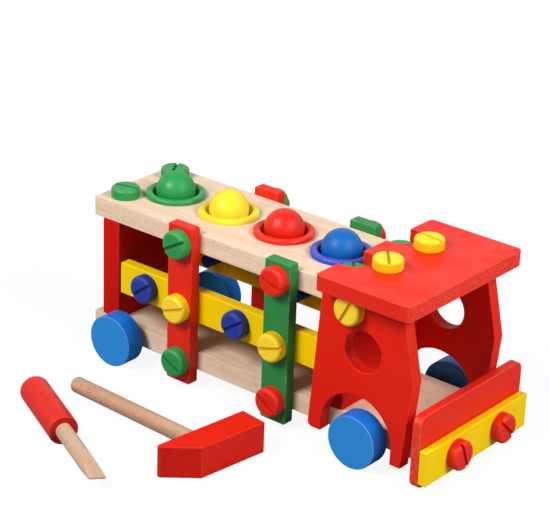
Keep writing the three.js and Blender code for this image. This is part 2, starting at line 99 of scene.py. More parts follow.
class Way(Enum):
    """A direction with a name."""

    @property
    def axis(self) -> Vector:
        """The direction as a vector."""
        return Vector(self.value)


class Grain(Way):
    """The way the fibres run in a piece of wood."""

    ALONG = (1.0, 0.0, 0.0)
    ACROSS = (0.0, 1.0, 0.0)
    UPRIGHT = (0.0, 0.0, 1.0)
    HAMMER_HANDLE = (math.cos(HAMMER_TURN), math.sin(HAMMER_TURN), 0.0)
    HAMMER_HEAD = (-math.sin(HAMMER_TURN + HEAD_SKEW), math.cos(HAMMER_TURN + HEAD_SKEW), 0.0)
    DRIVER = (math.cos(DRIVER_TURN), math.sin(DRIVER_TURN), 0.0)


class Facing(Way):
    """The way a screw's head looks."""

    RIGHT = (0.0, -1.0, 0.0)
    LEFT = (0.0, 1.0, 0.0)
    UP = (0.0, 0.0, 1.0)
    FRONT = (1.0, 0.0, 0.0)

    @property
    def grain(self) -> Grain:
        """The run of the fibres in a screw that looks this way."""
        if self is Facing.UP:
            return Grain.UPRIGHT
        return Grain.ALONG if self is Facing.FRONT else Grain.ACROSS


class Side(Enum):
    """The two sides of the truck."""

    RIGHT = -1
    LEFT = 1

    @property
    def label(self) -> str:
        """The word that node names use."""
        return self.name.lower()


class Pick(Enum):
    """What is selected in edit mode."""

    EDGES = "EDGE"
    FACES = "FACE"


def spot(x: float = 0.0, y: float = 0.0, z: float = 0.0) -> Vector:
    """Gives a point in metres from its millimetres."""
    return Vector((x * MM, y * MM, z * MM))


def middle_of(node: str) -> Vector:
    """Gives the middle of a node's box, in metres."""
    low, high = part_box(node)
    return (low + high) / 2


def linear(colour: Sequence[int]) -> tuple[float, float, float, float]:
    """Turns a colour as written for a screen into the linear colour that shaders use.

    Args:
        colour: Red, green and blue from 0 to 255.

    Returns:
        The linear colour with full alpha.
    """
    parts = []
    for value in colour:
        share = value / 255.0
        parts.append(share / 12.92 if share <= 0.04045 else ((share + 0.055) / 1.055) ** 2.4)
    return (parts[0], parts[1], parts[2], 1.0)


class Graph:
    """A node tree that is filled node by node. Its methods take values or sockets alike."""

    def __init__(self, tree: NodeTree) -> None:
        """Keeps the tree that the nodes go into."""
        self.tree = tree

    def node(self, kind: str, inputs: dict[Any, Any] | None = None, **settings: Any) -> Node:
        """Adds a node.

        Args:
            kind: The node's type.
            inputs: Values or sockets for its inputs, by name or number.
            settings: The node's own properties.

        Returns:
            The new node.
        """
        made = self.tree.nodes.new(kind)
        for name, value in settings.items():
            setattr(made, name, value)
        for key, value in (inputs or {}).items():
            if isinstance(value, NodeSocket):
                self.link(value, made, key)
            else:
                made.inputs[key].default_value = value
        return made

    def link(self, value: NodeSocket, node: Node, key: Any) -> None:
        """Leads a value to a node's input."""
        self.tree.links.new(value, node.inputs[key])

    def math(self, operation: str, first: Any, second: Any = 0.0, clamp: bool = False) -> NodeSocket:
        """Gives the result of a Math node, kept between 0 and 1 where that is asked for."""
        inputs = {0: first, 1: second}
        return self.node("ShaderNodeMath", inputs, operation=operation, use_clamp=clamp).outputs[0]

    def times(self, first: Any, second: Any, clamp: bool = False) -> NodeSocket:
        """Gives a product."""
        return self.math("MULTIPLY", first, second, clamp)

    def plus(self, first: Any, second: Any, clamp: bool = False) -> NodeSocket:
        """Gives a sum."""
        return self.math("ADD", first, second, clamp)

    def less(self, first: Any, second: Any) -> NodeSocket:
        """Gives a difference."""
        return self.math("SUBTRACT", first, second)

    def ramp(self, value: NodeSocket, span: Span, to: tuple[Any, Any] = UNIT) -> NodeSocket:
        """Maps a value smoothly from one span to another."""
        inputs = {0: value, 1: span[0], 2: span[1], 3: to[0], 4: to[1]}
        return self.node("ShaderNodeMapRange", inputs, interpolation_type="SMOOTHSTEP").outputs[0]

    def mix(self, share: Any, first: Any, second: Colour) -> NodeSocket:
        """Mixes a share of a second colour into a first, both as written for a screen."""
        inputs = {0: share, 6: first if isinstance(first, NodeSocket) else linear(first), 7: linear(second)}
        return self.node("ShaderNodeMix", inputs, data_type="RGBA").outputs[2]

    def scaled(self, vector: NodeSocket, factors: Triple) -> NodeSocket:
        """Multiplies a vector part by part."""
        return self.node("ShaderNodeVectorMath", {0: vector, 1: factors}, operation="MULTIPLY").outputs[0]

    def noise(self, vector: NodeSocket, scale: float, detail: float, rough: float) -> NodeSocket:
        """Gives a noise by its scale per millimetre, its octaves and the strength of the finer ones."""
        inputs = {"Vector": vector, "Scale": scale, "Detail": detail, "Roughness": rough}
        return self.node("ShaderNodeTexNoise", inputs).outputs[0]


@dataclass
class Effects:
    """Shader node groups that the finishes share. Their vectors are in millimetres along the grain.

    A noise is given by its scale, its octaves and the strength of the finer ones.
    """

    streak_stretch: Triple = (0.012, 0.16, 0.16)
    streak_noise: Triple = (1.0, 3.0, 0.55)
    line_stretch: Triple = (0.03, 1.5, 1.5)
    line_noise: Triple = (1.0, 3.0, 0.65)
    grain_span: Span = (0.3, 0.7)
    pore_stretch: Triple = (0.36, 2.6, 2.6)
    pore_noise: Triple = (1.0, 1.0, 0.55)
    pore_span: Span = (0.63, 0.72)
    chip_coarse: Triple = (0.14, 2.0, 0.55)
    chip_fine: Triple = (0.75, 3.0, 0.7)
    chip_level: float = 0.72
    chip_reach: float = 0.22
    chip_edge: float = 22.0
    speck_noise: Triple = (0.7, 1.0, 0.55)
    speck_span: Span = (0.76, 0.8)
    end_span: Span = (0.5, 0.66)
    dot_noise: Triple = (1.1, 3.0, 0.7)
    dot_span: Span = (0.5, 0.62)
    smudge_noise: Triple = (0.045, 4.0, 0.6)
    smudge_span: Span = (0.35, 0.68)
    dimple_noise: Triple = (0.9, 2.0, 0.55)

    def __post_init__(self) -> None:
        """Builds the groups once."""
        self.groups: list[NodeTree] = []
        self._grain()
        self._rim()
        self._end()
        self._handling()

    @staticmethod
    def _open(name: str, **extra: str) -> tuple[Graph, Node]:
        """Starts a group that takes a vector.

        Args:
            name: The group's name.
            extra: Socket types of its other inputs, by name.

        Returns:
            The graph and its input node.
        """
        graph = Graph(bpy.data.node_groups.new(name, "ShaderNodeTree"))
        for key, kind in {"Vector": "NodeSocketVector", **extra}.items():
            graph.tree.interface.new_socket(key, in_out="INPUT", socket_type=kind)
        return graph, graph.node("NodeGroupInput")

    def _close(self, graph: Graph, **values: NodeSocket) -> None:
        """Ends a group and keeps it.

        Args:
            graph: The group's graph.
            values: What it puts out, by name.
        """
        for key in values:
            graph.tree.interface.new_socket(key, in_out="OUTPUT", socket_type="NodeSocketFloat")
        graph.node("NodeGroupOutput", values)
        self.groups.append(graph.tree)

    def _grain(self) -> None:
        """Long streaks, fine lines and short pores that run along the fibres."""
        graph, inner = self._open("wood_grain")
        vector = inner.outputs["Vector"]
        streaks = graph.noise(graph.scaled(vector, self.streak_stretch), *self.streak_noise)
        lines = graph.noise(graph.scaled(vector, self.line_stretch), *self.line_noise)
        pores = graph.noise(graph.scaled(vector, self.pore_stretch), *self.pore_noise)
        self._close(
            graph,
            Streaks=graph.ramp(streaks, self.grain_span),
            Lines=graph.ramp(lines, self.grain_span),
            Pores=graph.ramp(pores, self.pore_span),
        )

    def _rim(self) -> None:
        """Chips and a mottled tone on the rounded rims, which carry the attribute rim, and specks of dust.
        Paints lighten their rims with the tone, partly as rubbed-through wear and partly as a painted edge
        highlight.
        """
        graph, inner = self._open("rim_wear", Amount="NodeSocketFloat")
        vector = inner.outputs["Vector"]
        rim = graph.node("ShaderNodeAttribute", attribute_name="rim").outputs["Fac"]
        coarse = graph.noise(vector, *self.chip_coarse)
        fine = graph.noise(vector, *self.chip_fine)
        both = graph.plus(graph.times(coarse, 0.5), graph.times(fine, 0.5))
        level = graph.less(self.chip_level, graph.times(inner.outputs["Amount"], self.chip_reach))
        over = graph.times(graph.less(both, level), self.chip_edge, clamp=True)
        specks = graph.ramp(graph.noise(vector, *self.speck_noise), self.speck_span)
        self._close(graph, Chips=graph.times(over, rim), Rub=graph.times(rim, coarse), Specks=specks)

    def _end(self) -> None:
        """Open end grain, where a face looks along the fibres."""
        graph, inner = self._open("end_grain", Axis="NodeSocketVector")
        normal = graph.node("ShaderNodeTexCoord").outputs["Normal"]
        dot = {0: normal, 1: inner.outputs["Axis"]}
        along = graph.node("ShaderNodeVectorMath", dot, operation="DOT_PRODUCT").outputs["Value"]
        face = graph.ramp(graph.math("ABSOLUTE", along), self.end_span)
        dots = graph.ramp(graph.noise(inner.outputs["Vector"], *self.dot_noise), self.dot_span)
        self._close(graph, Face=face, Speckle=graph.times(face, dots))

    def _handling(self) -> None:
        """Faint smudges of small hands, and the dimples of a sprayed coat."""
        graph, inner = self._open("handling")
        vector = inner.outputs["Vector"]
        smudge = graph.ramp(graph.noise(vector, *self.smudge_noise), self.smudge_span)
        self._close(graph, Smudge=smudge, Dimples=graph.noise(vector, *self.dimple_noise))


class Dresser:
    """Makes the materials, one for each finish and run of the grain, and hands pieces over."""

    def __init__(self) -> None:
        """Builds the shared effects."""
        self.effects = Effects()
        self.made: dict[tuple[str, Grain], Material] = {}

    def start(self, name: str, grain: Grain, chips: float) -> tuple[Material, Graph, Values]:
        """Starts a material with the shared effects placed in it.

        Args:
            name: The material's name.
            grain: The run of the fibres.
            chips: How much of the rims is chipped.

        Returns:
            The material, its graph and the effects' values by name.
        """
        material = bpy.data.materials.new(name)
        material.use_nodes = True
        graph = Graph(material.node_tree)
        place = graph.node("ShaderNodeTexCoord").outputs["Object"]
        turn = grain.axis.rotation_difference(Grain.ALONG.axis).to_euler()
        size = (1.0 / MM, 1.0 / MM, 1.0 / MM)
        mapped = graph.node("ShaderNodeMapping", {"Vector": place, "Rotation": turn, "Scale": size})
        values: Values = {}
        for group in self.effects.groups:
            placed = graph.node("ShaderNodeGroup", {"Vector": mapped.outputs[0]}, node_tree=group)
            for key, setting in (("Amount", chips), ("Axis", grain.axis)):
                if key in placed.inputs:
                    placed.inputs[key].default_value = setting
            values.update({socket.name: socket for socket in placed.outputs})
        return material, graph, values

    def dress(self, piece: Object, node: str, finish: "Finish", grain: Grain) -> None:
        """Gives a piece its material and lets it stand for a CAD node.

        Args:
            piece: The finished mesh.
            node: The node that it replaces.
            finish: Its finish.
            grain: The run of its fibres.
        """
        key = (finish.name, grain)
        if key not in self.made:
            self.made[key] = finish.mix(self, grain)
        piece.data.materials.clear()
        piece.data.materials.append(self.made[key])
        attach(piece, frame["nodes"][node]["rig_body"])
        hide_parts(node)
        log.info("%s: %d faces, %s", piece.name, len(piece.data.polygons), finish.name)


@dataclass(frozen=True)
class Finish:
    """What a painted and a bare surface have in common."""

    name: str
    slot: str
    colour: Colour
    deep: Colour
    roughness: float
    polish: Span = (0.05, 0.06)
    chips: float = 0.0
    shine: float = 0.1
    bump: float = 0.35
    bump_depth: float = 0.12

    def layers(self, graph: Graph, value: Values) -> Layers:
        """Gives colour, roughness and relief."""
        raise NotImplementedError

    def smudged(self, graph: Graph, value: Values) -> NodeSocket:
        """Gives the roughness with its smudges."""
        span = (self.roughness - self.polish[0], self.roughness + self.polish[1])
        return graph.ramp(value["Smudge"], UNIT, span)

    def mix(self, dresser: Dresser, grain: Grain) -> Material:
        """Makes the material.

        Args:
            dresser: Holds the shared effects.
            grain: The run of the fibres.

        Returns:
            The material.
        """
        name = f"{self.name}_{grain.name.lower()}"
        material, graph, value = dresser.start(name, grain, self.chips)
        colour, rough, relief = self.layers(graph, value)
        height = {"Height": relief, "Strength": self.bump, "Distance": self.bump_depth * MM}
        normal = graph.node("ShaderNodeBump", height).outputs[0]
        shader = graph.tree.nodes["Principled BSDF"]
        for key, socket in (("Base Color", colour), ("Roughness", rough), ("Normal", normal)):
            graph.link(socket, shader, key)
        shader.inputs["Specular IOR Level"].default_value = self.shine
        return material


@dataclass(frozen=True)
class Paint(Finish):
    """Satin toy lacquer, thin enough that the grain shows in it a little."""

    chips: float = 0.12
    bare: Colour = (226, 196, 160)
    # Colour of end-grain speckle and soaked end faces; in some paints it is the lit colour of the end
    # faces, which is painted light.
    speck: Colour = (236, 128, 112)
    # How much the rims lighten towards bare wood: partly wear, partly a painted edge highlight.
    rub: float = 0.12
    dust: float = 0.5
    speckle: float = 0.0
    # How much the end faces take that colour: soaked end grain on the tools, painted light on the lit faces
    # of screw heads and wheels.
    soak: float = 0.0
    streaks: float = 0.15
    clouds: float = 0.2
    end_rough: float = 0.1
    chip_rough: float = 0.25
    fibres: float = 0.15
    peel: float = 0.8
    end_depth: float = 0.6
    chip_depth: float = 1.2

    def layers(self, graph: Graph, value: Values) -> Layers:
        """Mixes the coat, what wears it and, in some paints, the painted light on end faces and rims.

        Args:
            graph: The material's graph.
            value: The shared effects' values by name.

        Returns:
            Colour, roughness and relief.
        """
        times = graph.times
        depth = graph.plus(times(value["Streaks"], self.streaks), times(value["Smudge"], self.clouds))
        colour = graph.mix(depth, self.colour, self.deep)
        red, green, blue = self.deep
        coats = (
            (times(value["Specks"], self.dust), (red // 3, green // 3, blue // 3)),
            # End faces take the end colour: soaked end grain, or painted light on the faces of screw heads
            # and wheels.
            (times(value["Face"], self.soak), self.speck),
            (times(value["Speckle"], self.speckle), self.speck),
            # Rims lighten towards bare wood: partly rubbed-through wear, partly a painted edge highlight.
            (times(value["Rub"], self.rub), self.bare),
            (value["Chips"], self.bare),
        )
        for share, over in coats:
            colour = graph.mix(share, colour, over)
        rough = graph.plus(self.smudged(graph, value), times(value["Face"], self.end_rough))
        rough = graph.plus(rough, times(value["Chips"], self.chip_rough), clamp=True)
        spray = graph.plus(times(value["Lines"], self.fibres), times(value["Dimples"], self.peel))
        opened = graph.less(spray, times(value["Speckle"], self.end_depth))
        return colour, rough, graph.less(opened, times(value["Chips"], self.chip_depth))


@dataclass(frozen=True)
class BareWood(Finish):
    """Pale sanded wood under a thin clear coat."""

    polish: Span = (0.06, 0.06)
    shine: float = 0.12
    bump: float = 0.4
    bump_depth: float = 0.15
    pore: Colour = (150, 108, 74)
    pores: float = 0.5
    streaks: float = 0.55
    lines: float = 0.45
    speckle: float = 0.45
    rub: float = 0.3
    fibres: float = 0.6
    pore_depth: float = 0.8
    end_depth: float = 0.5

    def layers(self, graph: Graph, value: Values) -> Layers:
        """Mixes the grain of the wood.

        Args:
            graph: The material's graph.
            value: The shared effects' values by name.

        Returns:
            Colour, roughness and relief.
        """
        times = graph.times
        depth = graph.plus(times(value["Streaks"], self.streaks), times(value["Lines"], self.lines))
        colour = graph.mix(depth, self.colour, self.deep)
        closed = graph.less(1.0, value["Face"])
        pores = times(value["Pores"], times(closed, self.pores))
        for share in (pores, times(value["Speckle"], self.speckle), times(value["Rub"], self.rub)):
            colour = graph.mix(share, colour, self.pore)
        opened = graph.less(times(value["Lines"], self.fibres), times(pores, self.pore_depth))
        relief = graph.less(opened, times(value["Speckle"], self.end_depth))
        return colour, self.smudged(graph, value), relief


RED = Paint("red_lacquer", "red_paint", (221, 35, 13), (207, 22, 7), 0.36, rub=0.05, shine=0.2)
# Painted shade: a darker copy of the red, so that the rear wall and the cab bulkhead look as if they stand
# in the shade inside the truck.
RED_SHADED_WALL = Paint("red_wall_lacquer", "red_paint", (196, 18, 8), (184, 11, 5), 0.42, rub=0.05, shine=0.06)
RED_BOARD = Paint(
    "red_board_lacquer", "red_paint", (221, 35, 13), (207, 22, 7), 0.42, speckle=0.45, shine=0.22
)
RED_SIDE = Paint(
    "red_side_lacquer", "red_paint", (219, 31, 11), (205, 20, 6), 0.44,
    chips=0.05, rub=0.03, speckle=0.14, shine=0.12,
)
RED_TOOL = Paint(
    "red_tool_lacquer", "red_paint", (208, 29, 10), (194, 18, 6), 0.4,
    speck=(150, 4, 3), rub=0.04, speckle=0.85, soak=0.25, shine=0.14,
)
RED_GRIP = Paint(
    "red_grip_lacquer", "red_paint", (206, 27, 9), (192, 17, 6), 0.36,
    speck=(140, 4, 2), rub=0.06, speckle=0.1, soak=0.4, shine=0.2,
)
BALL_RED = Paint("ball_red", "red_paint", (212, 30, 10), (198, 18, 6), 0.32, shine=0.28, peel=7.0)
YELLOW = Paint("yellow_lacquer", "yellow_paint", (241, 204, 0), (233, 194, 0), 0.42)
# Painted light and shade: the screw heads' end faces get the lighter end colour as a painted lit top, and
# their sides the darker base colour as painted shade.
LEMON = Paint(
    "lemon_lacquer", "yellow_paint", (232, 193, 16), (226, 184, 10), 0.36,
    speck=(243, 211, 49), rub=0.05, soak=0.9, shine=0.18,
)
BALL_YELLOW = Paint(
    "ball_yellow", "yellow_paint", (244, 213, 52), (238, 203, 36), 0.36, rub=0.05, shine=0.18
)
GREEN = Paint("green_lacquer", "green_paint", (34, 142, 70), (26, 126, 60), 0.36, rub=0.05, shine=0.28)
GREEN_BOARD = Paint(
    "green_board_lacquer", "green_paint", (42, 130, 66), (34, 114, 56), 0.4,
    bare=(206, 214, 186), chips=0.5, shine=0.2,
)
# Painted light and shade: the wheels' treads get the darker base colour as painted shade, and their faces,
# which are end faces, the lighter end colour.
AZURE = Paint(
    "azure_lacquer", "azure_paint", (18, 108, 203), (12, 96, 190), 0.36,
    speck=(40, 134, 206), soak=0.9, shine=0.14,
)
BALL_BLUE = Paint("ball_blue", "azure_paint", (5, 96, 172), (3, 86, 162), 0.32, shine=0.2, peel=7.0)
ULTRAMARINE = Paint(
    "ultramarine_lacquer", "ultramarine_paint", (26, 56, 148), (18, 46, 132), 0.36, rub=0.05, shine=0.18
)
VIOLET_BLUE = Paint("violet_lacquer", "violet_blue_paint", (40, 66, 184), (30, 54, 168), 0.3, shine=0.28)
BEECH = BareWood("bare_beech", "beech", (233, 211, 187), (216, 185, 156), 0.55, pores=0.6)
BLADE = BareWood("bare_blade", "beech", (197, 169, 145), (180, 147, 121), 0.55, pores=0.8)
DOWEL = BareWood(
    "bare_dowel", "dowel_wood", (191, 154, 127), (171, 131, 103), 0.55, pore=(118, 78, 52), pores=1.0
)


def done() -> None:
    """Leaves edit mode."""
    bpy.ops.object.mode_set(mode="OBJECT")


def clear() -> None:
    """Makes sure that edit mode is left, and deselects everything."""
    if bpy.context.object is not None and bpy.context.object.mode != "OBJECT":
        done()
    bpy.ops.object.select_all(action="DESELECT")


def take(piece: Object) -> None:
    """Makes a piece the only selected one, and the active one.

    Args:
        piece: The piece to work on.
    """
    clear()
    piece.select_set(True)
    bpy.context.view_layer.objects.active = piece


def settle(name: str) -> Object:
    """Names the piece just added and puts its place and size into its mesh.

    Args:
        name: The piece's name.

    Returns:
        The piece.
    """
    bpy.ops.object.transform_apply(location=True, rotation=True, scale=True)
    piece = bpy.context.object
    piece.name = name
    piece.data.name = name
    return piece


def block(name: str, low: Vector, high: Vector) -> Object:
    """Adds a block.

    Args:
        name: The piece's name.
        low: Its lowest corner.
        high: Its highest corner.

    Returns:
        The piece.
    """
    clear()
    bpy.ops.mesh.primitive_cube_add(size=1.0, location=(low + high) / 2)
    bpy.context.object.scale = high - low
    return settle(name)


def rod(name: str, start: Vector, end: Vector, radius: float, sides: int) -> Object:
    """Adds a cylinder.

    Args:
        name: The piece's name.
        start: Middle of one end.
        end: Middle of the other end.
        radius: Its radius.
        sides: How many sides stand for the round.

    Returns:
        The piece.
    """
    clear()
    run = end - start
    bpy.ops.mesh.primitive_cylinder_add(
        vertices=sides,
        radius=radius * MM,
        depth=run.length,
        location=(start + end) / 2,
        rotation=Grain.UPRIGHT.axis.rotation_difference(run).to_euler(),
    )
    return settle(name)


def drill(middle: Vector, reach: Vector, radius: float, sides: int) -> Object:
    """Adds a round cutter that reaches as far to both sides of its middle."""
    return rod("drill", middle - reach, middle + reach, radius, sides)


def pick(piece: Object, kind: Pick, test: Test) -> None:
    """Goes into edit mode and selects what passes a test.

    Args:
        piece: The piece to work on.
        kind: Edges or faces.
        test: Says whether one of them is selected.
    """
    take(piece)
    bpy.ops.object.mode_set(mode="EDIT")
    bpy.ops.mesh.select_mode(type=kind.value)
    bpy.ops.mesh.select_all(action="DESELECT")
    mesh = bmesh.from_edit_mesh(piece.data)
    mesh.normal_update()
    for part in mesh.edges if kind is Pick.EDGES else mesh.faces:
        part.select_set(bool(test(part)))
    bmesh.update_edit_mesh(piece.data)


def ends(test: Test) -> Test:
    """Turns a test of a point into a test of an edge or a face, whose points all have to pass."""
    return lambda part: all(test(vertex.co) for vertex in part.verts)


def lift(rise: float) -> None:
    """Extrudes what is selected upwards, in metres."""
    bpy.ops.mesh.extrude_region_move(TRANSFORM_OT_translate={"value": (0.0, 0.0, rise)})


def widen(factor: float) -> None:
    """Scales what is selected away from the upright axis."""
    bpy.ops.transform.resize(value=(factor, factor, 1.0), center_override=(0.0, 0.0, 0.0))


def round_off(piece: Object, radius: float, steps: int, test: Test) -> None:
    """Rounds the edges that pass a test.

    Args:
        piece: The piece to work on.
        radius: How far the rounding reaches.
        steps: How many faces stand for the rounding.
        test: Says whether an edge is rounded.
    """
    pick(piece, Pick.EDGES, test)
    reach = radius * MM
    bpy.ops.mesh.bevel(offset=reach, segments=steps, profile=0.5, affect="EDGES", clamp_overlap=True)
    done()


def runs(edge: Any, way: Way) -> bool:
    """Says whether an edge runs along a direction."""
    return abs((edge.verts[1].co - edge.verts[0].co).normalized().dot(way.axis)) > PARALLEL


def split(piece: Object, point: Vector, normal: Vector) -> None:
    """Saws off what lies beyond a plane and closes the cut.

    Args:
        piece: The piece to work on.
        point: A point of the plane.
        normal: The side that falls off.
    """
    take(piece)
    bpy.ops.object.mode_set(mode="EDIT")
    bpy.ops.mesh.select_all(action="SELECT")
    way = normal.normalized()
    bpy.ops.mesh.bisect(plane_co=point, plane_no=way, use_fill=True, clear_outer=True)
    done()


def apply(piece: Object, kind: str, **settings: Any) -> None:
    """Adds a modifier to a piece and applies it.

    Args:
        piece: The piece to work on.
        kind: The modifier's type.
        settings: Its properties.
    """
    take(piece)
    modifier = piece.modifiers.new(kind.lower(), kind)
    for name, value in settings.items():
        setattr(modifier, name, value)
    bpy.ops.object.modifier_apply(modifier=modifier.name)


def cut(piece: Object, cutters: Sequence[Object]) -> None:
    """Cuts bodies that don't touch each other out of a piece, and throws them away.

    Args:
        piece: The piece to work on.
        cutters: The bodies to cut out.
    """
    if not cutters:
        return
    take(cutters[0])
    for cutter in cutters[1:]:
        cutter.select_set(True)
    if len(cutters) > 1:
        bpy.ops.object.join()
    whole = bpy.context.object
    apply(piece, "BOOLEAN", operation="DIFFERENCE", solver="EXACT", object=whole)
    discard(whole)


def mark(piece: Object, test: Test) -> None:
    """Marks the faces that pass a test in the attribute rim, where paint wears and gets a painted edge
    highlight.

    Args:
        piece: The piece to work on.
        test: Says whether a face is part of a rim.
    """
    rim = piece.data.attributes.new("rim", "FLOAT", "FACE")
    for polygon in piece.data.polygons:
        rim.data[polygon.index].value = float(test(polygon))


def ease(piece: Object, radius: float, steps: int = 3) -> None:
    """Rounds the sharp rims and marks the rounded faces.

    Args:
        piece: The piece to work on.
        radius: How far the rounding reaches.
        steps: How many faces stand for the rounding.
    """
    piece.data.materials.append(None)
    piece.data.materials.append(None)
    settings = {"width": radius * MM, "segments": steps, "angle_limit": EASE_ANGLE}
    apply(piece, "BEVEL", limit_method="ANGLE", material=1, **settings)
    mark(piece, lambda polygon: polygon.material_index == 1)
    for polygon in piece.data.polygons:
        polygon.material_index = 0


def smooth(piece: Object, angle: float = 40.0) -> None:
    """Shades the rounds smooth and keeps the flats flat.

    Args:
        piece: The piece to work on.
        angle: The angle, in degrees, from which an edge stays sharp.
    """
    take(piece)
    bpy.ops.object.shade_smooth_by_angle(angle=math.radians(angle))
    apply(piece, "WEIGHTED_NORMAL", keep_sharp=True, weight=NORMAL_WEIGHT)


def lay(piece: Object, place: Vector, turn: float) -> None:
    """Lays a piece that was modelled at the origin in its place, turned about the upright."""
    piece.data.transform(Matrix.Translation(place) @ Matrix.Rotation(turn, 4, "Z"))


def copy(piece: Object, name: str, place: Matrix) -> Object:
    """Copies a piece with its own mesh and moves the mesh.

    Args:
        piece: The piece to copy.
        name: The copy's name.
        place: Where the copy's mesh goes.

    Returns:
        The copy.
    """
    mesh = piece.data.copy()
    mesh.name = name
    mesh.transform(place)
    made = bpy.data.objects.new(name, mesh)
    bpy.context.scene.collection.objects.link(made)
    return made


def discard(piece: Object) -> None:
    """Throws a pattern or a cutter away."""
    bpy.data.objects.remove(piece, do_unlink=True)


@dataclass
class SubAssembly:
    """Pieces that are modelled and dressed together."""

    dresser: Dresser

    def build(self) -> None:
        """Makes and dresses every piece."""
        raise NotImplementedError


@dataclass
class Screw:
    """One screw of the set: where it sits, where its head looks, and how its slot is turned."""

    node: str
    facing: Facing
    turn: float
    finish: Paint

    @property
    def seat(self) -> Vector:
        """The point on the wood under the middle of the head, in metres."""
        low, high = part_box(self.node)
        axis = self.facing.axis
        reach = (high - low) / 2
        return (low + high) / 2 + axis * (abs(reach.dot(axis)) - SCREW_HEAD_HEIGHT * MM)

    @property
    def place(self) -> Matrix:
        """The matrix that takes a screw standing at the origin, slot along X, to its seat."""
        level = Grain.ACROSS if self.facing is Facing.FRONT else Grain.ALONG
        axis = self.facing.axis
        slot = Matrix.Rotation(math.radians(self.turn), 3, axis) @ level.axis
        turned = Matrix((slot, axis.cross(slot), axis)).transposed()
        return Matrix.Translation(self.seat) @ turned.to_4x4()


